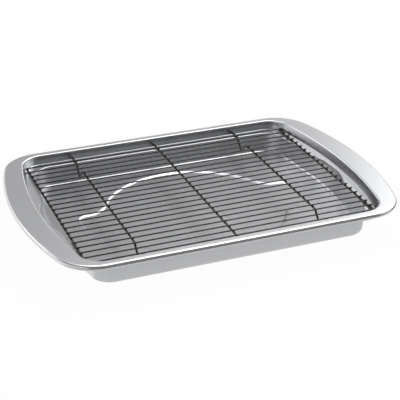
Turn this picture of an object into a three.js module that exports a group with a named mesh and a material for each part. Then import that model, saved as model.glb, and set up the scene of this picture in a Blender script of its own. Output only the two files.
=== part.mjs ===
// Sheet pan with a lift-out wire rack. Millimetres, +Z up.
// X runs along the pan and Y across it. The origin is the middle of the flat underside that it stands on.
import * as THREE from 'three';

// Pan: heights above the table, and the sheet that it is pressed from
const sheetThickness = 1;
const rimHeight = 45.2;
const ledgeHeight = 31.5;
const panelDrop = 1.5;

// Pan: the well, which is the opening inside the ledge that carries the rack; the ends of the well, the ledge
// and the mouth share one bow
const wellLength = 414.7;
const wellWidth = 307.8;
const wellCorner = 28.6;
const endBowRadius = 655;

// Pan: floor, which is smaller than the well by the draft of the wall between them
const floorSideDraft = 2.3;
const floorEndDraft = 5.7;
const floorBowRadius = 780;
const floorCorner = 26;
const floorFillet = 3.5;

// Pan: ledge and the wall above it
const ledgeSideWidth = 12.7;
const ledgeEndWidth = 13.5;
const ledgeOuterCorner = 25;
const ledgeEdgeFillet = 2;
const ledgeRootFillet = 1.5;
const upperSideDraft = 1;
const upperEndDraft = 4.3;
const mouthCorner = 34;
const mouthFillet = 1.8;

// Pan: finger scallop in the ledge at each end
const scallopRadius = 110;
const scallopLand = 3;
const scallopEase = 5;

// Pan: rolled rim and the two crescent handles
const beadDiameter = 7.2;
const beadTurn = 270;
const rimLand = 5.4;
const handleReach = 32.9;
const handleBowRadius = 486;
const rimCorner = 56.5;
const rimWireClearance = 0.3;

// Pan: sunken stiffening panel in the floor, a disc with a wing towards each end
const panelRadius = 128.7;
const panelSlopeRun = 4;
const wingReach = 161.5;
const wingHalfWidth = 40;
const wingTipRadius = 14;
const wingRootFillet = 35;

// Rack: long wires lie on cross wires, and the cross wires lie on the ledge
const longWireCount = 22;
const longWireDiameter = 2;
const crossWireDiameter = 3;
const weldGap = 0.15;
const seatGap = 0.3;
const sideWireInset = 3.75;
const longWireOverhang = 3.2;
const wireTipClearance = 0.6;
const endWireOverhang = 0.5;
const footedWireInset = 79.05;
const crossWireEndGap = 1.5;
const footInset = 22.5;
const footDrop = 18.5;
const footHalfWidth = 16.4;
const footBend = 5;

// Fineness of the faceted solids, the most of a wall that a fillet may take, and the reach of one point
const endSteps = 10;
const cornerSteps = 5;
const beadSteps = 7;
const rimWireSides = 6;
const wireSides = 8;
const filletSteps = 2;
const bendSteps = 3;
const filletShare = 0.45;
const samePoint = 1e-6;

const materials = {
  aluminium: new THREE.MeshStandardMaterial({ color: 0xb9bbbd, roughness: 0.34, metalness: 1 }),
  steel: new THREE.MeshStandardMaterial({ color: 0x8d9093, roughness: 0.45, metalness: 1 }),
  coating: new THREE.MeshStandardMaterial({ color: 0x2b2b2d, roughness: 0.5, metalness: 0 }),
};

// Points on an arc in the plan, both ends included
function arcPoints(centreX, centreY, radius, from, to, steps) {
  return Array.from({ length: steps + 1 }, (_, i) => {
    const angle = from + ((to - from) * i) / steps;
    return new THREE.Vector2(centreX + radius * Math.cos(angle), centreY + radius * Math.sin(angle));
  });
}

// A quarter outline, from the +X side to the +Y side, mirrored into a whole counter-clockwise loop;
// a point that lies on an axis meets its own mirror image and is kept once
function mirrorQuarter(quarter) {
  const turned = quarter.slice().reverse();
  const loop = [
    ...quarter,
    ...turned.map((p) => new THREE.Vector2(-p.x, p.y)),
    ...quarter.map((p) => new THREE.Vector2(-p.x, -p.y)),
    ...turned.map((p) => new THREE.Vector2(p.x, -p.y)),
  ];
  return loop.filter((p, i) => p.distanceTo(loop.at(i - 1)) > samePoint);
}

// Plan outline of the pan at one level: straight sides, ends bowed to an arc, and rounded corners
class PlanOutline {
  constructor(halfLength, halfWidth, endRadius, corner) {
    Object.assign(this, { halfLength, halfWidth, endRadius, corner });
    this.endCentre = halfLength - endRadius;
    this.cornerY = halfWidth - corner;
    this.cornerX = this.endCentre + Math.sqrt((endRadius - corner) ** 2 - this.cornerY ** 2);
    this.endAngle = Math.atan2(this.cornerY, this.cornerX - this.endCentre);
  }

  // The parallel outline, moved outwards
  offset(distance) {
    const sizes = [this.halfLength, this.halfWidth, this.endRadius, this.corner];
    return new PlanOutline(...sizes.map((size) => size + distance));
  }

  // Half the outline's length at a given distance from the long axis
  xAt(y) {
    const bow = this.endCentre + Math.sqrt(this.endRadius ** 2 - y ** 2);
    if (Math.abs(y) <= this.endRadius * Math.sin(this.endAngle)) return bow;
    const rise = Math.min(Math.abs(y) - this.cornerY, this.corner);
    return this.cornerX + Math.sqrt(this.corner ** 2 - rise ** 2);
  }

  // The loop of stations, the same number at every level
  stations() {
    const { endCentre, endRadius, endAngle, cornerX, cornerY, corner } = this;
    const end = arcPoints(endCentre, 0, endRadius, 0, endAngle, endSteps);
    const bend = arcPoints(cornerX, cornerY, corner, endAngle, Math.PI / 2, cornerSteps);
    return mirrorQuarter([...end, ...bend.slice(1)]);
  }
}

// The pan's levels in plan, each worked out from the well
const well = new PlanOutline(wellLength / 2, wellWidth / 2, endBowRadius, wellCorner);
const floorEdge = new PlanOutline(
  well.halfLength - floorEndDraft, well.halfWidth - floorSideDraft, floorBowRadius, floorCorner);
const ledgeOuter = new PlanOutline(
  well.halfLength + ledgeEndWidth, well.halfWidth + ledgeSideWidth, endBowRadius, ledgeOuterCorner);
const mouth = new PlanOutline(
  ledgeOuter.halfLength + upperEndDraft, ledgeOuter.halfWidth + upperSideDraft, endBowRadius, mouthCorner);
const rim = new PlanOutline(
  mouth.halfLength + handleReach, mouth.halfWidth + rimLand + beadDiameter, handleBowRadius, rimCorner);

const beadRadius = beadDiameter / 2;
const beadCentreHeight = rimHeight - beadRadius;
const beadLine = rim.offset(-beadRadius);
const floorHeight = sheetThickness + panelDrop;

// The larger of two lengths, eased where they are nearly equal
function easedMax(a, b, ease) {
  const overlap = Math.max(ease - Math.abs(a - b), 0) / ease;
  return Math.max(a, b) + (overlap ** 2 * ease) / 4;
}

// The well's stations with the finger scallop pushed out of the ledge at both ends
function scallopedWell() {
  const apex = ledgeOuter.halfLength - scallopLand;
  return well.stations().map((p) => {
    if (Math.abs(p.y) >= scallopRadius) return p;
    const reach = apex - scallopRadius + Math.sqrt(scallopRadius ** 2 - p.y ** 2);
    return new THREE.Vector2(Math.sign(p.x) * easedMax(Math.abs(p.x), reach, scallopEase), p.y);
  });
}

// Loop of the panel's edge, moved outwards by a distance; the fillet at a wing's root starts no further out
// than the round of the wing's tip
function panelLoop(distance) {
  const tipX = wingReach - wingTipRadius;
  const tipY = wingHalfWidth - wingTipRadius;
  const room = (tipX ** 2 + wingHalfWidth ** 2 - panelRadius ** 2) / (2 * (panelRadius - wingHalfWidth));
  const root = Math.min(wingRootFillet, room);
  const rootY = wingHalfWidth + root;
  const rootX = Math.sqrt((panelRadius + root) ** 2 - rootY ** 2);
  const rootAngle = Math.atan2(rootY, rootX);
  return mirrorQuarter([
    ...arcPoints(tipX, tipY, wingTipRadius + distance, 0, Math.PI / 2, cornerSteps),
    ...arcPoints(rootX, rootY, root - distance, -Math.PI / 2, rootAngle - Math.PI, cornerSteps),
    ...arcPoints(0, 0, panelRadius + distance, rootAngle, Math.PI / 2, endSteps).slice(1),
  ]);
}

// Lift a plan loop to a height
function raise(loop, height) {
  return loop.map((p) => new THREE.Vector3(p.x, p.y, height));
}

// Round one corner of a section, limited by the lengths of the two walls that meet there
function roundCorner(before, corner, after, radius, steps) {
  const back = before.clone().sub(corner);
  const on = after.clone().sub(corner);
  const room = filletShare * Math.min(back.length(), on.length());
  const half = back.angleTo(on) / 2;
  const run = Math.min(radius / Math.tan(half), room);
  const start = corner.clone().addScaledVector(back.normalize(), run);
  const end = corner.clone().addScaledVector(on.normalize(), run);
  const centre = corner.clone().addScaledVector(back.add(on).normalize(), run / Math.cos(half));
  const from = start.sub(centre);
  const axis = from.clone().cross(end.sub(centre)).normalize();
  return Array.from({ length: steps + 1 }, (_, i) => {
    return from.clone().applyAxisAngle(axis, ((Math.PI - 2 * half) * i) / steps).add(centre);
  });
}

// Rings of the sheet's upper skin, from the floor out to the end of the rolled rim
function upperSkin() {
  const corners = [
    raise(floorEdge.offset(-2 * floorFillet).stations(), floorHeight),
    raise(floorEdge.stations(), floorHeight),
    raise(scallopedWell(), ledgeHeight),
    raise(ledgeOuter.stations(), ledgeHeight),
    raise(mouth.stations(), rimHeight),
    raise(beadLine.stations(), rimHeight),
  ];
  const fillets = [floorFillet, ledgeEdgeFillet, ledgeRootFillet, mouthFillet];
  const sections = corners[0].map((floorPoint, station) => {
    const rounded = fillets.flatMap((radius, i) => {
      const [before, corner, after] = [0, 1, 2].map((k) => corners[i + k][station]);
      return roundCorner(before, corner, after, radius, filletSteps);
    });
    return [floorPoint, ...rounded];
  });
  const rings = sections[0].map((_, k) => sections.map((section) => section[k]));
  for (let i = 0; i <= beadSteps; i++) {
    const angle = THREE.MathUtils.degToRad((beadTurn * i) / beadSteps);
    const loop = beadLine.offset(beadRadius * Math.sin(angle)).stations();
    rings.push(raise(loop, beadCentreHeight + beadRadius * Math.cos(angle)));
  }
  return rings;
}

// The same rings on the other face of the sheet
function lowerSkin(rings) {
  return rings.map((ring, k) => ring.map((point, i) => {
    const across = new THREE.Vector3();
    for (const [from, to] of [[k - 1, k], [k, k + 1]]) {
      if (rings[from] && rings[to]) across.add(rings[to][i].clone().sub(rings[from][i]).normalize());
    }
    const along = ring[(i + 1) % ring.length].clone().sub(ring.at(i - 1));
    return point.clone().addScaledVector(across.cross(along).normalize(), -sheetThickness);
  }));
}

// A closed surface collected triangle by triangle
class Surface {
  constructor() {
    this.positions = [];
  }

  triangle(a, b, c) {
    this.positions.push(...a.toArray(), ...b.toArray(), ...c.toArray());
  }

  // The band between two rings; it faces up where the first ring lies inside the second
  band(inner, outer) {
    inner.forEach((a, i) => {
      const j = (i + 1) % inner.length;
      this.triangle(a, outer[i], outer[j]);
      this.triangle(a, outer[j], inner[j]);
    });
  }

  // A level face inside a ring, with an optional hole, facing up or down
  face(ring, hole, up) {
    const flat = (list) => list.map((p) => new THREE.Vector2(p.x, p.y));
    const holes = hole.length ? [flat(hole).reverse()] : [];
    const order = [...ring, ...hole.slice().reverse()];
    const triangles = THREE.ShapeUtils.triangulateShape(flat(ring), holes).map((t) => t.map((i) => order[i]));
    const turn = triangles.reduce((sum, t) => sum + THREE.ShapeUtils.area(flat(t)), 0);
    for (const [a, b, c] of triangles) {
      if (turn > 0 === up) this.triangle(a, b, c);
      else this.triangle(c, b, a);
    }
  }

  geometry() {
    const geometry = new THREE.BufferGeometry();
    geometry.setAttribute('position', new THREE.Float32BufferAttribute(this.positions, 3));
    geometry.computeVertexNormals();
    return geometry;
  }
}

// The pan: one pressed sheet, from the sunken panel in its floor to the curl of its rim
function trayGeometry() {
  const surface = new Surface();
  const upper = upperSkin();
  const lower = lowerSkin(upper);
  const slope = Math.atan2(panelDrop, panelSlopeRun);
  const shift = sheetThickness * Math.tan(slope / 2);
  const panelTop = [
    raise(panelLoop(-panelSlopeRun), floorHeight - panelDrop),
    raise(panelLoop(0), floorHeight),
  ];
  const panelUnder = [
    raise(panelLoop(shift - panelSlopeRun), 0),
    raise(panelLoop(shift), panelDrop),
  ];
  surface.face(panelTop[0], [], true);
  surface.band(panelTop[0], panelTop[1]);
  surface.face(upper[0], panelTop[1], true);
  surface.face(panelUnder[0], [], false);
  surface.band(panelUnder[1], panelUnder[0]);
  surface.face(lower[0], panelUnder[1], false);
  for (let k = 0; k + 1 < upper.length; k++) {
    surface.band(upper[k], upper[k + 1]);
    surface.band(lower[k + 1], lower[k]);
  }
  surface.band(upper.at(-1), lower.at(-1));
  return surface.geometry();
}

// The steel wire that the rim is rolled round
function rimWireGeometry() {
  const radius = beadRadius - sheetThickness - rimWireClearance;
  const rings = Array.from({ length: rimWireSides }, (_, i) => {
    const angle = (2 * Math.PI * i) / rimWireSides;
    const loop = beadLine.offset(radius * Math.sin(angle)).stations();
    return raise(loop, beadCentreHeight + radius * Math.cos(angle));
  });
  const surface = new Surface();
  rings.forEach((ring, i) => surface.band(ring, rings[(i + 1) % rings.length]));
  return surface.geometry();
}

const crossWireRadius = crossWireDiameter / 2;
const longWireRadius = longWireDiameter / 2;
const crossWireHeight = ledgeHeight + seatGap + crossWireRadius;
const longWireHeight = crossWireHeight + crossWireRadius + weldGap + longWireRadius;
const footedWireX = well.halfLength - footedWireInset;
const sideWireY = well.halfWidth - sideWireInset;
const crossReach = ledgeOuter.halfWidth - crossWireEndGap;
const longWirePitch = (2 * sideWireY) / (longWireCount - 1);
// The end wires lie as far out as the corners of the ledge let them
const endReach = sideWireY + endWireOverhang;
const endWireX = ledgeOuter.xAt(endReach) - crossWireRadius - wireTipClearance;

// A straight wire through a point, along X or along Y
function straightWire(radius, length, along) {
  const geometry = new THREE.CylinderGeometry(radius, radius, length, wireSides);
  if (along === 'x') geometry.rotateX(Math.PI / 2).rotateY(Math.PI / 2);
  return geometry;
}

// Path of a bent wire in the plane across the pan: straight runs with rounded bends between them
class BentPath extends THREE.Curve {
  constructor(corners) {
    super();
    this.stops = corners.flatMap(({ point, bend }, i) => {
      if (!bend) return [point];
      return roundCorner(corners[i - 1].point, point, corners[i + 1].point, bend, bendSteps);
    });
    this.steps = this.stops.length - 1;
  }

  getPoint(t, target = new THREE.Vector3()) {
    const index = Math.min(Math.floor(t * this.steps + samePoint), this.steps - 1);
    return target.lerpVectors(this.stops[index], this.stops[index + 1], t * this.steps - index);
  }

  getTangent(t, target = new THREE.Vector3()) {
    const index = Math.round(t * this.steps);
    const before = this.stops[Math.max(index - 1, 0)];
    const here = this.stops[index];
    const after = this.stops[Math.min(index + 1, this.steps)];
    const arriving = here.clone().sub(before).normalize();
    return target.copy(after).sub(here).normalize().add(arriving).normalize();
  }

  getUtoTmapping(u) {
    return u;
  }
}

// A cross wire from ledge to ledge that dips into a V foot near each end
function footedWireGeometry() {
  const at = (y, drop) => new THREE.Vector3(0, y, -drop);
  const footY = well.halfWidth - footInset;
  const half = [
    { point: at(crossReach, 0) },
    { point: at(footY + footHalfWidth, 0), bend: footBend },
    { point: at(footY, footDrop), bend: footBend },
    { point: at(footY - footHalfWidth, 0), bend: footBend },
  ];
  const otherHalf = half.slice().reverse().map(({ point, bend }) => {
    return { point: new THREE.Vector3(0, -point.y, point.z), bend };
  });
  const path = new BentPath([...half, ...otherHalf]);
  const section = new THREE.Shape(arcPoints(0, 0, crossWireRadius, 0, 2 * Math.PI, wireSides).slice(0, -1));
  return new THREE.ExtrudeGeometry(section, { extrudePath: path, steps: path.steps });
}

const part = new THREE.Group();

function place(name, geometry, material, x = 0, y = 0, z = 0) {
  const mesh = new THREE.Mesh(geometry, material);
  mesh.name = name;
  mesh.position.set(x, y, z);
  return mesh;
}

// The pan with its rim wire
function makePan() {
  const pan = new THREE.Group();
  pan.add(place('tray', trayGeometry(), materials.aluminium));
  pan.add(place('rim_wire', rimWireGeometry(), materials.steel));
  return pan;
}

// The rack: long wires welded across two end wires, a middle wire and two footed wires
function makeRack() {
  const rack = new THREE.Group();
  for (let i = 0; i < longWireCount; i++) {
    const y = i * longWirePitch - sideWireY;
    const reach = Math.min(endWireX + longWireOverhang, ledgeOuter.xAt(y) - wireTipClearance);
    const wire = straightWire(longWireRadius, 2 * reach, 'x');
    const name = `long_wire_${String(i + 1).padStart(2, '0')}`;
    rack.add(place(name, wire, materials.coating, 0, y, longWireHeight));
  }
  for (const [side, sign] of [['left', -1], ['right', 1]]) {
    const endWire = straightWire(crossWireRadius, 2 * endReach, 'y');
    const footedWire = footedWireGeometry();
    rack.add(
      place(`end_wire_${side}`, endWire, materials.coating, sign * endWireX, 0, crossWireHeight),
      place(`footed_wire_${side}`, footedWire, materials.coating, sign * footedWireX, 0, crossWireHeight));
  }
  const middleWire = straightWire(crossWireRadius, 2 * crossReach, 'y');
  rack.add(place('cross_wire_middle', middleWire, materials.coating, 0, 0, crossWireHeight));
  return rack;
}

part.add(makePan(), makeRack());

export default part;
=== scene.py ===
"""Looks of a sheet pan with a lift-out wire rack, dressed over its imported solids.

Metres, +Z up, in the frame of the solids: X runs along the pan, Y across it, and the table is at Z = 0.
"""
import logging
import math
from dataclasses import dataclass, field
from enum import Enum
from itertools import pairwise
from typing import Any

import bmesh
import bpy
from mathutils import Matrix, Vector


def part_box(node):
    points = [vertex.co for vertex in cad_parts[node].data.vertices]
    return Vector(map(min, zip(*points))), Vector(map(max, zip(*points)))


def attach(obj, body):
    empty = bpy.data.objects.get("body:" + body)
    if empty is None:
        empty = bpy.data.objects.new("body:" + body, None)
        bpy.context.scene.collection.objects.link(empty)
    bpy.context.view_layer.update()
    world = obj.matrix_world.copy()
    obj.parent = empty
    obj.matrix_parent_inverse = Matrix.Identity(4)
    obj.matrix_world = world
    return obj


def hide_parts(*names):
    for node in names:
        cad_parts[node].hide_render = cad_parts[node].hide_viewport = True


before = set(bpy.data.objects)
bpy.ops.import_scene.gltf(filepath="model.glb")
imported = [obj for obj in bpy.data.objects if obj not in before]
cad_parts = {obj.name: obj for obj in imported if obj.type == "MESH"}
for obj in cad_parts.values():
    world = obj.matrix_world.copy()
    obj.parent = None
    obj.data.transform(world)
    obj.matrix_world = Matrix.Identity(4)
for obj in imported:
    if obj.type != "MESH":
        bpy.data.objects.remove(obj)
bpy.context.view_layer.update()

Loop = list[bmesh.types.BMVert]

LOG = logging.getLogger("sheet_pan")
MM = 0.001
UPWARD = (0, 0, 1)
DOWNWARD = (0, 0, -1)
UP = Vector(UPWARD)
WHITE = (1, 1, 1, 1)
MERGE_DISTANCE = 1e-7
# The sorting round an outline starts this far below the +X axis, so that the vertex on the axis comes first
AXIS_ROOM = 1e-4
# A bevel of this profile is a circular arc
ROUND_PROFILE = 0.5

# Fineness of the meshes, in steps
BOW_STEPS = 40
CORNER_STEPS = 20
WING_STEPS = 12
# The panel's outline has as many steps as the pan's, so that a band of faces can join them
DISC_STEPS = BOW_STEPS + CORNER_STEPS - 2 * WING_STEPS - 1
BEAD_STEPS = 20
FILLET_STEPS = 5
WIRE_SIDES = 20
BEND_STEPS = 8
TIP_STEPS = 3
WELD_SIDES = 8
WELD_ROWS = 5

# Noise textures: how detailed they are, and the span that nearly all of their values lie in
FINE_NOISE = {"Detail": 3.0, "Roughness": 0.6}
SOFT_NOISE = {"Detail": 2.0, "Roughness": 0.5}
NOISE_SPAN = (0.35, 0.65)


def linear(hex_colour: str) -> tuple[float, float, float, float]:
    """Turn an sRGB hex value into a linear colour.

    Args:
        hex_colour: A value such as "#A0A1A3".

    Returns:
        Red, green, blue and an alpha of 1.
    """
    parts = [int(hex_colour[i:i + 2], 16) / 255 for i in (1, 3, 5)]
    red, green, blue = (p / 12.92 if p <= 0.04045 else ((p + 0.055) / 1.055) ** 2.4 for p in parts)
    return red, green, blue, 1.0


def add_node(tree: bpy.types.NodeTree, kind: str, inputs: dict[str | int, Any] | None = None,
             **settings: Any) -> bpy.types.Node:
    """Add a node with its settings, input values and links.

    Args:
        tree: The node tree that gets the node.
        kind: The node's type name.
        inputs: A value, or an output socket to link from, for each input by name or number.
        **settings: The node's own properties.

    Returns:
        The new node.
    """
    node = tree.nodes.new(kind)
    for name, value in settings.items():
        setattr(node, name, value)
    for name, value in (inputs or {}).items():
        if isinstance(value, bpy.types.NodeSocket):
            tree.links.new(value, node.inputs[name])
        else:
            node.inputs[name].default_value = value
    return node


def add_noise(tree: bpy.types.NodeTree, place: bpy.types.NodeSocket, size: float,
              kind: dict[str, float]) -> bpy.types.NodeSocket:
    """Add a noise texture.

    Args:
        tree: The material's nodes.
        place: The point that is shaded.
        size: The size of the noise's patches.
        kind: How detailed it is.

    Returns:
        The socket of its value.
    """
    noise = add_node(tree, "ShaderNodeTexNoise", {"Vector": place, "Scale": 1 / size, **kind})
    return noise.outputs["Fac"]


def add_tint(tree: bpy.types.NodeTree, share: bpy.types.NodeSocket, first: str,
             second: str) -> bpy.types.NodeSocket:
    """Blend two colours.

    Args:
        tree: The material's nodes.
        share: How much of the second colour shows.
        first: An sRGB hex value.
        second: Another one.

    Returns:
        The socket of the blend.
    """
    blend = add_node(tree, "ShaderNodeMix", {
        "Factor": share, "A": linear(first), "B": linear(second)}, data_type="RGBA")
    return blend.outputs["Result"]


def add_range(tree: bpy.types.NodeTree, value: bpy.types.NodeSocket, source: tuple[float, float],
              target: tuple[Any, Any]) -> bpy.types.NodeSocket:
    """Carry a value over from one span to another, and stop it at the ends.

    Args:
        tree: The material's nodes.
        value: The value.
        source: The span that it is in.
        target: What the ends of that span become, as numbers or sockets.

    Returns:
        The socket of the new value.
    """
    carried = add_node(tree, "ShaderNodeMapRange", {
        "Value": value, "From Min": source[0], "From Max": source[1],
        "To Min": target[0], "To Max": target[1]})
    return carried.outputs["Result"]


def new_material(name: str) -> tuple[bpy.types.Material, bpy.types.NodeTree]:
    """Make an empty node material.

    Args:
        name: What the material is called.

    Returns:
        The material and its node tree.
    """
    material = bpy.data.materials.new(name)
    material.use_nodes = True
    material.node_tree.nodes.clear()
    return material, material.node_tree


@dataclass(frozen=True)
class SatinAluminium:
    """Natural aluminium sheet, cold rolled and then pressed.

    It mirrors in a broad soft way. The rolls leave a fine grain along the sheet, and handling leaves
    patches that are a little duller.
    """

    name: str = "natural_aluminium_rolled_satin"
    bright: str = "#DCDDDF"
    dull: str = "#D7D8DA"
    roughness: tuple[float, float] = (0.277, 0.283)
    # The real grain is finer than a picture element, so it is drawn this coarse to show
    grain_width: float = 0.9 * MM
    grain_length: float = 40 * MM
    grain_depth: float = 0.0001 * MM
    grain_strength: float = 0.5
    patch_size: float = 70 * MM
    # Between these heights the sheet was drawn over the die, which leaves it rougher by this much
    drawn_zone: tuple[float, float] = (5 * MM, 29 * MM)
    drawn_roughness: float = 0.16
    # The wall above the ledge was pressed hard against the die, which leaves it smoother
    pressed_zone: tuple[float, float] = (32 * MM, 45 * MM)
    pressed_roughness: float = -0.06
    zone_blend: float = 3 * MM

    def zone(self, tree: bpy.types.NodeTree, height: bpy.types.NodeSocket,
             span: tuple[float, float]) -> bpy.types.NodeSocket:
        """Mark the part of the sheet between two heights.

        Args:
            tree: The material's nodes.
            height: The height of the point that is shaded.
            span: The two heights.

        Returns:
            A socket that is 1 between the heights and fades to 0 towards both.
        """
        low, high = span
        above = add_range(tree, height, (low, low + self.zone_blend), (0.0, 1.0))
        return add_range(tree, height, (high - self.zone_blend, high), (above, 0.0))

    def make(self) -> bpy.types.Material:
        """Return the finished material."""
        material, tree = new_material(self.name)
        place = add_node(tree, "ShaderNodeTexCoord").outputs["Object"]
        height = add_node(tree, "ShaderNodeSeparateXYZ", {"Vector": place}).outputs["Z"]
        across = 1 / self.grain_width
        rolled = add_node(tree, "ShaderNodeMapping", {
            "Vector": place, "Scale": (1 / self.grain_length, across, across)})
        grain = add_noise(tree, rolled.outputs["Vector"], 1.0, FINE_NOISE)
        patches = add_noise(tree, place, self.patch_size, SOFT_NOISE)
        tint = add_tint(tree, patches, self.dull, self.bright)
        both = add_node(tree, "ShaderNodeMath", {0: grain, 1: patches}, operation="ADD")
        least, most = NOISE_SPAN
        rough = add_range(tree, both.outputs["Value"], (2 * least, 2 * most), self.roughness)
        for span, change in ((self.drawn_zone, self.drawn_roughness),
                             (self.pressed_zone, self.pressed_roughness)):
            zone = self.zone(tree, height, span)
            changed = add_node(tree, "ShaderNodeMath", {0: zone, 1: change, 2: rough},
                               operation="MULTIPLY_ADD")
            rough = changed.outputs["Value"]
        relief = add_node(tree, "ShaderNodeBump", {
            "Height": grain, "Strength": self.grain_strength, "Distance": self.grain_depth})
        shader = add_node(tree, "ShaderNodeBsdfPrincipled", {
            "Base Color": tint, "Metallic": 1.0, "Roughness": rough, "Normal": relief.outputs["Normal"]})
        add_node(tree, "ShaderNodeOutputMaterial", {"Surface": shader.outputs["BSDF"]})
        return material


@dataclass(frozen=True)
class NonStickCoating:
    """Black non-stick coating, sprayed and cured on steel wire.

    It is a satin black film with a slight orange peel, and it picks up a soft edge of light.
    """

    name: str = "black_nonstick_sprayed_coating"
    deep: str = "#121213"
    worn: str = "#1E1E1F"
    roughness: tuple[float, float] = (0.2, 0.3)
    ior: float = 1.5
    peel_size: float = 0.8 * MM
    peel_depth: float = 0.02 * MM
    peel_strength: float = 0.6
    patch_size: float = 12 * MM

    def make(self) -> bpy.types.Material:
        """Return the finished material."""
        material, tree = new_material(self.name)
        place = add_node(tree, "ShaderNodeTexCoord").outputs["Object"]
        peel = add_noise(tree, place, self.peel_size, SOFT_NOISE)
        patches = add_noise(tree, place, self.patch_size, FINE_NOISE)
        tint = add_tint(tree, patches, self.deep, self.worn)
        rough = add_range(tree, patches, NOISE_SPAN, self.roughness)
        relief = add_node(tree, "ShaderNodeBump", {
            "Height": peel, "Strength": self.peel_strength, "Distance": self.peel_depth})
        shader = add_node(tree, "ShaderNodeBsdfPrincipled", {
            "Base Color": tint, "Metallic": 0.0, "IOR": self.ior, "Roughness": rough,
            "Normal": relief.outputs["Normal"]})
        add_node(tree, "ShaderNodeOutputMaterial", {"Surface": shader.outputs["BSDF"]})
        return material


@dataclass(frozen=True)
class DrawnSteel:
    """Mild steel wire, drawn through a die: dull grey metal, a little uneven in tone."""

    name: str = "mild_steel_drawn_wire"
    bright: str = "#94979A"
    dull: str = "#7C7F82"
    roughness: float = 0.42
    patch_size: float = 5 * MM

    def make(self) -> bpy.types.Material:
        """Return the finished material."""
        material, tree = new_material(self.name)
        place = add_node(tree, "ShaderNodeTexCoord").outputs["Object"]
        patches = add_noise(tree, place, self.patch_size, FINE_NOISE)
        tint = add_tint(tree, patches, self.dull, self.bright)
        shader = add_node(tree, "ShaderNodeBsdfPrincipled", {
            "Base Color": tint, "Metallic": 1.0, "Roughness": self.roughness})
        add_node(tree, "ShaderNodeOutputMaterial", {"Surface": shader.outputs["BSDF"]})
        return material


class Slot(Enum):
    """The record's material slots."""

    TRAY = "tray_sheet"
    RIM = "rim_steel"
    WIRE = "wire_coating"


class Body(Enum):
    """The bodies that pieces ride on."""

    PAN = "pan"
    RACK = "rack"


def add_object(name: str, mesh: bmesh.types.BMesh, material: bpy.types.Material) -> bpy.types.Object:
    """Turn a mesh into an object of the scene.

    Args:
        name: The object's name.
        mesh: Its shape, which is freed.
        material: Its finish.

    Returns:
        The object.
    """
    data = bpy.data.meshes.new(name)
    mesh.to_mesh(data)
    mesh.free()
    data.materials.append(material)
    made = bpy.data.objects.new(name, data)
    bpy.context.scene.collection.objects.link(made)
    return made


def add_piece(name: str, mesh: bmesh.types.BMesh, material: bpy.types.Material, body: Body, slot: Slot,
              *nodes: str) -> bpy.types.Object:
    """Turn a mesh into a smooth-shaded piece of the object.

    Args:
        name: The piece's name.
        mesh: Its shape, which is freed.
        material: Its finish.
        body: The body that it rides on.
        slot: The record's slot for its finish; it is not used.
        *nodes: The solids that it stands for.

    Returns:
        The piece.
    """
    for face in mesh.faces:
        face.smooth = True
    piece = add_object(name, mesh, material)
    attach(piece, body.value)
    if nodes:
        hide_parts(*nodes)
    LOG.info("%s: %d faces on %s", name, len(piece.data.polygons), body.value)
    return piece


def smooth_max(first: float, second: float, ease: float) -> float:
    """Take the larger of two values, eased where they come near each other.

    Args:
        first: One value.
        second: The other one.
        ease: How near they are where the easing starts.

    Returns:
        The larger value, and where the two meet a quarter of the ease more.
    """
    near = max(ease - abs(first - second), 0) / ease
    return max(first, second) + near ** 2 * ease / 4


def corners_of(edges: list[bmesh.types.BMEdge]) -> list[bmesh.types.BMVert]:
    """Return the vertices that a list of edges uses, each once."""
    return list(dict.fromkeys(v for edge in edges for v in edge.verts))


def edges_of(loop: Loop) -> list[bmesh.types.BMEdge]:
    """Return the edges that join the vertices of a loop."""
    inside = set(loop)
    return list(dict.fromkeys(e for v in loop for e in v.link_edges if e.other_vert(v) in inside))


def skin(mesh: bmesh.types.BMesh, inner: Loop, outer: Loop) -> None:
    """Stretch a band of faces between two loops whose vertices stand opposite each other.

    Args:
        mesh: The mesh that holds the loops.
        inner: The loop that the band starts from.
        outer: The loop that it ends at, to the right of its start as seen along the loop.
    """
    for i in range(len(inner)):
        mesh.faces.new((inner[i - 1], outer[i - 1], outer[i], inner[i]))


def fillet(mesh: bmesh.types.BMesh, edges: list[bmesh.types.BMEdge], radius: float, steps: int) -> None:
    """Round a line of edges.

    Args:
        mesh: The mesh that holds them.
        edges: The edges to round.
        radius: How far the round reaches along each wall.
        steps: Its number of facets.
    """
    bmesh.ops.bevel(mesh, geom=[*corners_of(edges), *edges], offset=radius, offset_type="OFFSET",
                    segments=steps, profile=ROUND_PROFILE, affect="EDGES", clamp_overlap=False, material=-1)


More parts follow.
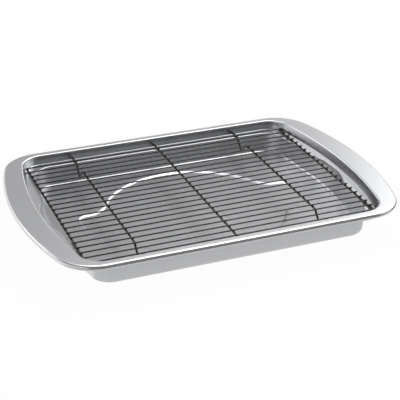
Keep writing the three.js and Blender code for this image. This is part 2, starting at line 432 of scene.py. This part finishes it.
class RingPen:
    """Draws a closed plan outline at one height: a quarter of it by pulling and turning a vertex."""

    def __init__(self, mesh: bmesh.types.BMesh, start: Vector) -> None:
        """Put the pen down.

        Args:
            mesh: The mesh that gets the outline.
            start: The outline's point on the +X axis.
        """
        self.mesh = mesh
        self.height = start.z
        self.older = set(mesh.edges)
        self.tip = mesh.verts.new(start)

    def line_to(self, x: float, y: float) -> None:
        """Draw a straight stretch to a point."""
        made = bmesh.ops.extrude_vert_indiv(self.mesh, verts=[self.tip])
        self.tip = made["verts"][0]
        self.tip.co = (x, y, self.height)

    def arc(self, x: float, y: float, angle: float, steps: int) -> None:
        """Draw an arc round a centre.

        Args:
            x: The centre's X.
            y: The centre's Y.
            angle: The turn, counter-clockwise.
            steps: Its number of edges.
        """
        made = bmesh.ops.spin(self.mesh, geom=[self.tip], cent=(x, y, self.height), axis=UP,
                              angle=angle, steps=steps, use_merge=False, use_duplicate=False)
        self.tip = next(g for g in made["geom_last"] if isinstance(g, bmesh.types.BMVert))

    def drawn(self) -> list[bmesh.types.BMEdge]:
        """Return the edges drawn so far."""
        return [edge for edge in self.mesh.edges if edge not in self.older]

    def close(self) -> Loop:
        """Mirror the quarter, which has reached the +Y axis.

        Returns:
            The whole loop's vertices, counter-clockwise from the +X axis.
        """
        self.tip.co.x = 0
        for axis in "YX":
            quarter = self.drawn()
            bmesh.ops.mirror(self.mesh, geom=[*corners_of(quarter), *quarter],
                             matrix=Matrix.Identity(4), merge_dist=MERGE_DISTANCE, axis=axis)
        return sorted(corners_of(self.drawn()),
                      key=lambda v: (math.atan2(v.co.y, v.co.x) + AXIS_ROOM) % math.tau)


@dataclass(frozen=True)
class PlanOutline:
    """Plan of the pan at one level: straight sides, bowed ends and round corners."""

    half_length: float
    half_width: float
    bow: float
    corner: float

    def grown(self, distance: float) -> "PlanOutline":
        """Return the parallel outline, moved outwards by a distance."""
        return PlanOutline(self.half_length + distance, self.half_width + distance,
                           self.bow + distance, self.corner + distance)

    def ring(self, mesh: bmesh.types.BMesh, height: float) -> Loop:
        """Draw the outline.

        Args:
            mesh: The mesh that gets it.
            height: Its level.

        Returns:
            The loop.
        """
        bow_x = self.half_length - self.bow
        corner_y = self.half_width - self.corner
        reach = self.bow - self.corner
        angle = math.asin(corner_y / reach)
        pen = RingPen(mesh, Vector((self.half_length, 0, height)))
        pen.arc(bow_x, 0, angle, BOW_STEPS)
        pen.arc(bow_x + reach * math.cos(angle), corner_y, math.pi / 2 - angle, CORNER_STEPS)
        pen.line_to(0, self.half_width)
        return pen.close()


@dataclass(frozen=True)
class PanelOutline:
    """Plan of the sunken floor panel: a disc with a wing towards each end."""

    radius: float = 128.7 * MM
    wing_reach: float = 161.5 * MM
    wing_half_width: float = 40 * MM
    wing_tip: float = 14 * MM
    wing_root: float = 35 * MM

    def ring(self, mesh: bmesh.types.BMesh, grow: float, height: float) -> Loop:
        """Draw the outline, or one parallel to it.

        Args:
            mesh: The mesh that gets it.
            grow: How far outwards it is moved.
            height: Its level.

        Returns:
            The loop.
        """
        root_y = self.wing_half_width + self.wing_root
        root_x = math.sqrt((self.radius + self.wing_root) ** 2 - root_y ** 2)
        turn = math.pi / 2 - math.atan2(root_y, root_x)
        tip_x = self.wing_reach - self.wing_tip
        tip_y = self.wing_half_width - self.wing_tip
        pen = RingPen(mesh, Vector((self.wing_reach + grow, 0, height)))
        pen.line_to(self.wing_reach + grow, tip_y)
        pen.arc(tip_x, tip_y, math.pi / 2, WING_STEPS)
        pen.line_to(root_x, self.wing_half_width + grow)
        pen.arc(root_x, root_y, -turn, WING_STEPS)
        pen.arc(0, 0, turn, DISC_STEPS)
        return pen.close()


@dataclass
class Pan:
    """The pan: one pressed sheet, and the steel wire that its rim is rolled round."""

    sheet: float = 1 * MM
    floor_bow: float = 780 * MM
    end_bow: float = 655 * MM
    handle_bow: float = 486 * MM
    floor_corner: float = 26 * MM
    well_corner: float = 28.6 * MM
    ledge_corner: float = 25 * MM
    mouth_corner: float = 34 * MM
    rim_corner: float = 56.5 * MM
    floor_side_draft: float = 2.3 * MM
    floor_end_draft: float = 5.7 * MM
    ledge_side_width: float = 12.7 * MM
    ledge_end_width: float = 13.5 * MM
    upper_side_draft: float = 1 * MM
    upper_end_draft: float = 4.3 * MM
    rim_land: float = 5.4 * MM
    handle_reach: float = 32.9 * MM
    bead_diameter: float = 7.2 * MM
    bead_turn: float = math.radians(270)
    rim_wire_gap: float = 0.3 * MM
    ledge_height: float = 31.5 * MM
    panel_drop: float = 1.5 * MM
    panel_slope: float = 2.6 * MM
    panel_margin: float = 3 * MM
    panel_fillet: float = 0.6 * MM
    floor_fillet: float = 4 * MM
    floor_margin: float = 9 * MM
    ledge_edge_fillet: float = 1 * MM
    ledge_root_fillet: float = 0.8 * MM
    mouth_fillet: float = 1.8 * MM
    scallop_radius: float = 110 * MM
    scallop_land: float = 3 * MM
    scallop_ease: float = 5 * MM
    panel: PanelOutline = field(default_factory=PanelOutline)

    def __post_init__(self) -> None:
        """Work out the levels of the pan in plan from its outer size in the frame, from the rim inwards."""
        _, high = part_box("tray")
        self.height = high.z
        self.rim = PlanOutline(high.x, high.y, self.handle_bow, self.rim_corner)
        self.mouth = PlanOutline(
            self.rim.half_length - self.handle_reach,
            self.rim.half_width - self.rim_land - self.bead_diameter, self.end_bow, self.mouth_corner)
        self.ledge = PlanOutline(
            self.mouth.half_length - self.upper_end_draft,
            self.mouth.half_width - self.upper_side_draft, self.end_bow, self.ledge_corner)
        self.well = PlanOutline(
            self.ledge.half_length - self.ledge_end_width,
            self.ledge.half_width - self.ledge_side_width, self.end_bow, self.well_corner)
        self.floor = PlanOutline(
            self.well.half_length - self.floor_end_draft,
            self.well.half_width - self.floor_side_draft, self.floor_bow, self.floor_corner)
        self.bead_radius = self.bead_diameter / 2
        self.bead_line = self.rim.grown(-self.bead_radius)
        self.panel_height = self.sheet
        self.floor_height = self.sheet + self.panel_drop

    def cut_scallops(self, loop: Loop) -> None:
        """Push the middle of the ledge's inner edge outwards at both ends, as room for fingers.

        Args:
            loop: The ledge's inner edge.
        """
        apex = self.ledge.half_length - self.scallop_land
        for vert in loop:
            if abs(vert.co.y) >= self.scallop_radius:
                continue
            reach = apex - self.scallop_radius + math.sqrt(self.scallop_radius ** 2 - vert.co.y ** 2)
            eased = smooth_max(abs(vert.co.x), reach, self.scallop_ease)
            vert.co.x = math.copysign(eased, vert.co.x)

    def panel_rings(self, mesh: bmesh.types.BMesh) -> list[Loop]:
        """Draw the sunken panel's loops.

        Args:
            mesh: The mesh of the sheet.

        Returns:
            The loops inside the foot of its slope, at the foot, at the brink and outside the brink.
        """
        slope, margin = self.panel_slope, self.panel_margin
        return [self.panel.ring(mesh, -slope - margin, self.panel_height),
                self.panel.ring(mesh, -slope, self.panel_height),
                self.panel.ring(mesh, 0, self.floor_height),
                self.panel.ring(mesh, margin, self.floor_height)]

    def curl_rings(self, mesh: bmesh.types.BMesh) -> list[Loop]:
        """Draw the loops of the rolled rim, from its top round to its hidden edge.

        Args:
            mesh: The mesh of the sheet.

        Returns:
            The loops in order.
        """
        loops = []
        for step in range(BEAD_STEPS + 1):
            angle = self.bead_turn * step / BEAD_STEPS
            drop = self.bead_radius * (1 - math.cos(angle))
            outline = self.bead_line.grown(self.bead_radius * math.sin(angle))
            loops.append(outline.ring(mesh, self.height - drop))
        return loops

    def press_sheet(self) -> bmesh.types.BMesh:
        """Return the sheet's upper face, from the panel in its floor to the curl of its rim."""
        mesh = bmesh.new()
        inside, foot, brink, outside = self.panel_rings(mesh)
        floor_inside = self.floor.grown(-self.floor_margin).ring(mesh, self.floor_height)
        floor = self.floor.ring(mesh, self.floor_height)
        well = self.well.ring(mesh, self.ledge_height)
        self.cut_scallops(well)
        ledge = self.ledge.ring(mesh, self.ledge_height)
        mouth = self.mouth.ring(mesh, self.height)
        curl = self.curl_rings(mesh)
        loops = (inside, foot, brink, outside, floor_inside, floor, well, ledge, mouth, *curl)
        for inner, outer in pairwise(loops):
            skin(mesh, inner, outer)
        rounds = [([*edges_of(foot), *edges_of(brink)], self.panel_fillet),
                  (edges_of(floor), self.floor_fillet), (edges_of(well), self.ledge_edge_fillet),
                  (edges_of(ledge), self.ledge_root_fillet), (edges_of(mouth), self.mouth_fillet)]
        bmesh.ops.contextual_create(mesh, geom=edges_of(inside))
        for edges, radius in rounds:
            fillet(mesh, edges, radius, FILLET_STEPS)
        bmesh.ops.triangulate(mesh, faces=[face for face in mesh.faces if len(face.verts) > 4])
        return mesh

    def roll_wire(self) -> bmesh.types.BMesh:
        """Return the steel wire inside the rolled rim."""
        mesh = bmesh.new()
        radius = self.bead_radius - self.sheet - self.rim_wire_gap
        loops = []
        for side in range(WIRE_SIDES):
            angle = 2 * math.pi * side / WIRE_SIDES
            outline = self.bead_line.grown(radius * math.sin(angle))
            loops.append(outline.ring(mesh, self.height - self.bead_radius + radius * math.cos(angle)))
        for inner, outer in pairwise((*loops, loops[0])):
            skin(mesh, inner, outer)
        return mesh

    def build(self) -> None:
        """Make the pan's pieces and dress them."""
        tray = add_piece("pressed_tray", self.press_sheet(), SatinAluminium().make(), Body.PAN, Slot.TRAY,
                         "tray")
        wall = tray.modifiers.new("sheet_thickness", "SOLIDIFY")
        wall.thickness = self.sheet
        wall.offset = -1
        wall.use_even_offset = True
        flats = tray.modifiers.new("flat_faces_stay_flat", "WEIGHTED_NORMAL")
        flats.mode = "FACE_AREA"
        flats.keep_sharp = True
        add_piece("rim_core_wire", self.roll_wire(), DrawnSteel().make(), Body.PAN, Slot.RIM, "rim_wire")


class WireBender:
    """Makes a round wire as it is made at the bench: pulled straight, and turned round each bend."""

    def __init__(self, radius: float, start: Vector, heading: Vector) -> None:
        """Start a wire.

        Args:
            radius: The wire's radius.
            start: The middle of its first end.
            heading: The way that it runs from there, in the plane across the pan.
        """
        self.mesh = bmesh.new()
        self.place = start.copy()
        self.heading = heading.normalized()
        turn = self.heading.to_track_quat("Z", "X").to_matrix().to_4x4()
        bmesh.ops.create_circle(self.mesh, cap_ends=True, radius=radius, segments=WIRE_SIDES,
                                matrix=Matrix.Translation(start) @ turn)
        self.section = list(self.mesh.edges)
        self.ends = list(self.section)

    def pull(self, length: float) -> None:
        """Add a straight run."""
        made = bmesh.ops.extrude_edge_only(self.mesh, edges=self.section)["geom"]
        moved = [g for g in made if isinstance(g, bmesh.types.BMVert)]
        self.section = [g for g in made if isinstance(g, bmesh.types.BMEdge)
                        and g.verts[0] in moved and g.verts[1] in moved]
        bmesh.ops.translate(self.mesh, vec=self.heading * length, verts=moved)
        self.place += self.heading * length

    def bend(self, angle: float, radius: float) -> None:
        """Turn the wire about an axis along X.

        Args:
            angle: The turn, positive from Y towards Z.
            radius: The bend's radius at the wire's middle.
        """
        turn = Matrix.Rotation(angle, 3, "X")
        side = Vector((0, -self.heading.z, self.heading.y)) * math.copysign(radius, angle)
        centre = self.place + side
        made = bmesh.ops.spin(self.mesh, geom=[*corners_of(self.section), *self.section], cent=centre,
                              axis=(1, 0, 0), angle=angle, steps=BEND_STEPS, use_duplicate=False)
        self.section = [g for g in made["geom_last"] if isinstance(g, bmesh.types.BMEdge)]
        self.place = centre + turn @ -side
        self.heading = turn @ self.heading

    def cut(self, rounding: float) -> bmesh.types.BMesh:
        """Close the wire's end and round off both ends.

        Args:
            rounding: How far the ends are rounded.

        Returns:
            The wire's mesh.
        """
        bmesh.ops.contextual_create(self.mesh, geom=self.section)
        bmesh.ops.recalc_face_normals(self.mesh, faces=self.mesh.faces)
        fillet(self.mesh, [*self.ends, *self.section], rounding, TIP_STEPS)
        return self.mesh


@dataclass
class Rack:
    """The rack: long wires welded across five cross wires, two of them with feet."""

    long_wires: int = 22
    end_rounding: float = 0.35 * MM
    foot_drop: float = 18.5 * MM
    foot_half_width: float = 16.4 * MM
    foot_inset: float = 33.7 * MM
    foot_bend: float = 5 * MM
    weld_size: tuple[float, float, float] = (2.3 * MM, 2 * MM, 1.2 * MM)
    # The welds on the end wires are drawn bigger, so each crossing there shows as a larger dark dot
    end_weld_size: tuple[float, float, float] = (2.6 * MM, 2.1 * MM, 1.9 * MM)

    def __post_init__(self) -> None:
        """Make the coating that all the wires share."""
        self.coating = NonStickCoating().make()

    def straight(self, node: str) -> None:
        """Make a straight wire where its solid lies.

        Args:
            node: The solid's name.
        """
        low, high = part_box(node)
        size = high - low
        along_x = size.x > size.y
        radius = size.z / 2
        turn = Matrix.Rotation(math.pi / 2, 4, "Y" if along_x else "X")
        mesh = bmesh.new()
        bmesh.ops.create_cone(mesh, cap_ends=True, segments=WIRE_SIDES, radius1=radius, radius2=radius,
                              depth=max(size), matrix=Matrix.Translation((low + high) / 2) @ turn)
        ends = [edge for edge in mesh.edges if edge.calc_length() < radius]
        fillet(mesh, ends, self.end_rounding, TIP_STEPS)
        add_piece(f"{node}_coated", mesh, self.coating, Body.RACK, Slot.WIRE, node)

    def footed(self, node: str) -> None:
        """Make a cross wire with a V foot near each end where its solid lies.

        Args:
            node: The solid's name.
        """
        low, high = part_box(node)
        radius = (high.x - low.x) / 2
        start = Vector((low.x + radius, high.y, high.z - radius))
        foot_y = high.y - self.foot_inset
        dip = math.atan2(self.foot_drop, self.foot_half_width)
        bends = [(foot_y + self.foot_half_width, 0.0, dip),
                 (foot_y, -self.foot_drop, -2 * dip),
                 (foot_y - self.foot_half_width, 0.0, dip)]
        bends += [(-y, rise, turn) for y, rise, turn in reversed(bends)]
        wire = WireBender(radius, start, Vector((0, -1, 0)))
        for y, rise, turn in bends:
            corner = Vector((start.x, y, start.z + rise))
            setback = self.foot_bend * math.tan(abs(turn) / 2)
            wire.pull((corner - wire.place).length - setback)
            wire.bend(turn, self.foot_bend)
        wire.pull(wire.place.y - low.y)
        mesh = wire.cut(self.end_rounding)
        add_piece(f"{node}_coated", mesh, self.coating, Body.RACK, Slot.WIRE, node)

    def weld(self, long_nodes: list[str], cross_nodes: list[str]) -> None:
        """Fill the joints where long wires cross the cross wires with small welds.

        Args:
            long_nodes: The solids of the long wires.
            cross_nodes: The solids of the cross wires.
        """
        mesh = bmesh.new()
        for cross in cross_nodes:
            cross_low, cross_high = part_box(cross)
            foot_y = cross_high.y - self.foot_inset
            size = self.end_weld_size if cross.startswith("end") else self.weld_size
            for node in long_nodes:
                low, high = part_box(node)
                y = (low.y + high.y) / 2
                if cross.startswith("footed") and abs(abs(y) - foot_y) < self.foot_half_width:
                    continue
                at = Vector(((cross_low.x + cross_high.x) / 2, y, low.z))
                bmesh.ops.create_uvsphere(mesh, u_segments=WELD_SIDES, v_segments=WELD_ROWS, radius=1,
                                          matrix=Matrix.LocRotScale(at, None, Vector(size)))
        add_piece("wire_welds", mesh, self.coating, Body.RACK, Slot.WIRE)

    def build(self) -> None:
        """Make the rack's pieces and dress them."""
        long_nodes = [f"long_wire_{i + 1:02d}" for i in range(self.long_wires)]
        plain_nodes = ["end_wire_left", "end_wire_right", "cross_wire_middle"]
        footed_nodes = ["footed_wire_left", "footed_wire_right"]
        for node in [*long_nodes, *plain_nodes]:
            self.straight(node)
        for node in footed_nodes:
            self.footed(node)
        self.weld(long_nodes, [*plain_nodes, *footed_nodes])


@dataclass(frozen=True)
class Viewpoint:
    """The photograph's camera."""

    azimuth: float = math.radians(-21.73)
    elevation: float = math.radians(26.19)
    distance: float = 1618.5 * MM
    aside: float = -6.8 * MM
    above: float = 16.65 * MM
    lens: float = 104.65
    sensor: float = 36.0

    def build(self) -> None:
        """Make the camera and give it to the scene."""
        right = Vector((math.cos(self.azimuth), math.sin(self.azimuth), 0))
        back = Vector((math.sin(self.azimuth) * math.cos(self.elevation),
                       -math.cos(self.azimuth) * math.cos(self.elevation), math.sin(self.elevation)))
        up = back.cross(right)
        low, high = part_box("long_wire_01")
        aim = UP * (low.z + high.z) / 2
        eye = aim + back * self.distance - right * self.aside - up * self.above
        data = bpy.data.cameras.new("photo_camera")
        data.lens = self.lens
        data.sensor_width = self.sensor
        camera = bpy.data.objects.new("photo_camera", data)
        turn = Matrix((right, up, back)).transposed().to_4x4()
        camera.matrix_world = Matrix.Translation(eye) @ turn
        bpy.context.scene.collection.objects.link(camera)
        bpy.context.scene.camera = camera


@dataclass(frozen=True)
class Softbox:
    """An even studio lamp that faces the pan."""

    name: str
    place: tuple[float, float, float]
    width: float
    height: float
    radiance: float

    def build(self) -> None:
        """Make the lamp; its power is what gives its face the wanted radiance."""
        data = bpy.data.lights.new(self.name, "AREA")
        data.shape = "RECTANGLE"
        data.size = self.width
        data.size_y = self.height
        data.energy = self.radiance * math.pi * self.width * self.height
        lamp = bpy.data.objects.new(self.name, data)
        lamp.location = self.place
        lamp.rotation_euler = lamp.location.to_track_quat("Z", "Y").to_euler()
        bpy.context.scene.collection.objects.link(lamp)


@dataclass(frozen=True)
class Card:
    """A sheet of studio card or cloth that only mirrors see, or a patch of painted floor shade.

    It faces the pan where nothing else is said.
    """

    name: str
    place: tuple[float, float, float]
    width: float
    height: float
    level: float
    facing: tuple[float, float, float] | None = None

    def build(self) -> None:
        """Make the card, which shows its level of light."""
        place = Vector(self.place)
        facing = Vector(self.facing) if self.facing else -place
        turn = facing.to_track_quat("Z", "Y").to_matrix().to_4x4()
        half_size = Matrix.Diagonal((self.width / 2, self.height / 2, 1, 1))
        mesh = bmesh.new()
        bmesh.ops.create_grid(mesh, x_segments=1, y_segments=1, size=1,
                              matrix=Matrix.Translation(place) @ turn @ half_size)
        material, tree = new_material(f"{self.name}_surface")
        light = add_node(tree, "ShaderNodeEmission", {"Color": WHITE, "Strength": self.level})
        add_node(tree, "ShaderNodeOutputMaterial", {"Surface": light.outputs["Emission"]})
        card = add_object(self.name, mesh, material)
        card.visible_camera = False
        card.visible_diffuse = False
        card.visible_shadow = False


@dataclass(frozen=True)
class Studio:
    """A pale sweep of floor, a white surround, cards for the metal to mirror, and soft lamps."""

    floor_half_size: float = 4.0
    floor_level: float = -0.2 * MM
    paper: str = "#F2F2F2"
    # This share of the paper shows as plain white, and the rest of it keeps the shadow
    glow_share: float = 0.97
    # The surround's strength where it only lights things
    fill: float = 0.4
    # Place, width, height and level of light, and the way that a card faces where that isn't the pan
    cards: tuple[Card, ...] = (
        Card("grey_backdrop", (1.03, 4.0, 1.6), 2.66, 3.2, 0.355),
        Card("white_rear_panel", (-1.75, 4.0, 0.85), 2.8, 1.7, 1.0),
        Card("dark_front_cloth", (0.25, -2.1, 1.78), 5.0, 4.2, 0.21),
        Card("dark_side_cloth", (2.7, 1.3, 0.45), 3.6, 0.9, 0.07),
        Card("grey_ceiling", (-2.1, 0.7, 2.4), 3.2, 4.2, 0.3, DOWNWARD),
        # Painted shade: a grey card that only mirrors see, standing in for the paper floor shaded by the
        # pan just in front of it
        Card("painted_floor_shade", (0.0, -0.187, 0.0005), 1.4, 0.11, 0.68, UPWARD),
        Card("dark_front_floor", (0.3, -1.242, 0.001), 4.6, 2.0, 0.07, UPWARD),
        Card("dark_side_floor", (1.52, 0.6, 0.001), 2.2, 2.0, 0.07, UPWARD),
    )
    # Place, width, height and radiance
    lamps: tuple[Softbox, ...] = (
        Softbox("right_window", (7.05, 4.15, 3.85), 7.0, 7.5, 1.4),
        Softbox("overhead_softbox", (1.05, 0.65, 2.5), 3.1, 2.0, 2.3),
        Softbox("rear_softbox", (-4.9, 7.2, 4.95), 2.4, 2.4, 2.4),
        Softbox("rear_strip", (1.6, 3.4, 0.65), 2.4, 0.6, 1.3),
    )

    def white_surround(self) -> None:
        """Make the world: white where it is seen or mirrored, and a soft fill light elsewhere."""
        world = bpy.data.worlds.new("white_surround")
        bpy.context.scene.world = world
        world.use_nodes = True
        tree = world.node_tree
        tree.nodes.clear()
        seen = self.seen(tree)
        fill = add_node(tree, "ShaderNodeBackground", {"Color": WHITE, "Strength": self.fill})
        white = add_node(tree, "ShaderNodeBackground", {"Color": WHITE, "Strength": 1.0})
        both = add_node(tree, "ShaderNodeMixShader", {
            0: seen, 1: fill.outputs["Background"], 2: white.outputs["Background"]})
        add_node(tree, "ShaderNodeOutputWorld", {"Surface": both.outputs["Shader"]})

    def seen(self, tree: bpy.types.NodeTree) -> bpy.types.NodeSocket:
        """Tell the rays that show the surround from those that only bring its light.

        Args:
            tree: The nodes of the world or of a material.

        Returns:
            A socket that is 1 for rays that see the surround straight, mirrored or through glass.
        """
        path = add_node(tree, "ShaderNodeLightPath")
        first = add_node(tree, "ShaderNodeMath", {
            0: path.outputs["Is Camera Ray"], 1: path.outputs["Is Glossy Ray"]}, operation="MAXIMUM")
        both = add_node(tree, "ShaderNodeMath", {
            0: first.outputs["Value"], 1: path.outputs["Is Transmission Ray"]}, operation="MAXIMUM")
        return both.outputs["Value"]

    def paper_floor(self) -> None:
        """Make the floor: white paper that keeps a faint shadow."""
        mesh = bmesh.new()
        bmesh.ops.create_grid(mesh, x_segments=1, y_segments=1, size=self.floor_half_size,
                              matrix=Matrix.Translation(UP * self.floor_level))
        material, tree = new_material("white_paper_sweep")
        share = add_node(tree, "ShaderNodeMath", {
            0: self.seen(tree), 1: self.glow_share}, operation="MULTIPLY")
        paper = add_node(tree, "ShaderNodeBsdfDiffuse", {"Color": linear(self.paper)})
        glow = add_node(tree, "ShaderNodeEmission", {"Color": WHITE, "Strength": 1.0})
        both = add_node(tree, "ShaderNodeMixShader", {
            0: share.outputs["Value"], 1: paper.outputs["BSDF"], 2: glow.outputs["Emission"]})
        add_node(tree, "ShaderNodeOutputMaterial", {"Surface": both.outputs["Shader"]})
        floor = add_object("paper_floor", mesh, material)

    def build(self) -> None:
        """Light the scene."""
        bpy.context.scene.view_settings.view_transform = "Standard"
        self.white_surround()
        self.paper_floor()
        for fitting in (*self.cards, *self.lamps):
            fitting.build()


def main() -> None:
    """Build the camera, the pan, the rack and the studio."""
    logging.basicConfig(level=logging.INFO, format="%(name)s %(message)s")
    Viewpoint().build()
    Pan().build()
    Rack().build()
    Studio().build()


if __name__ == "__main__":
    main()
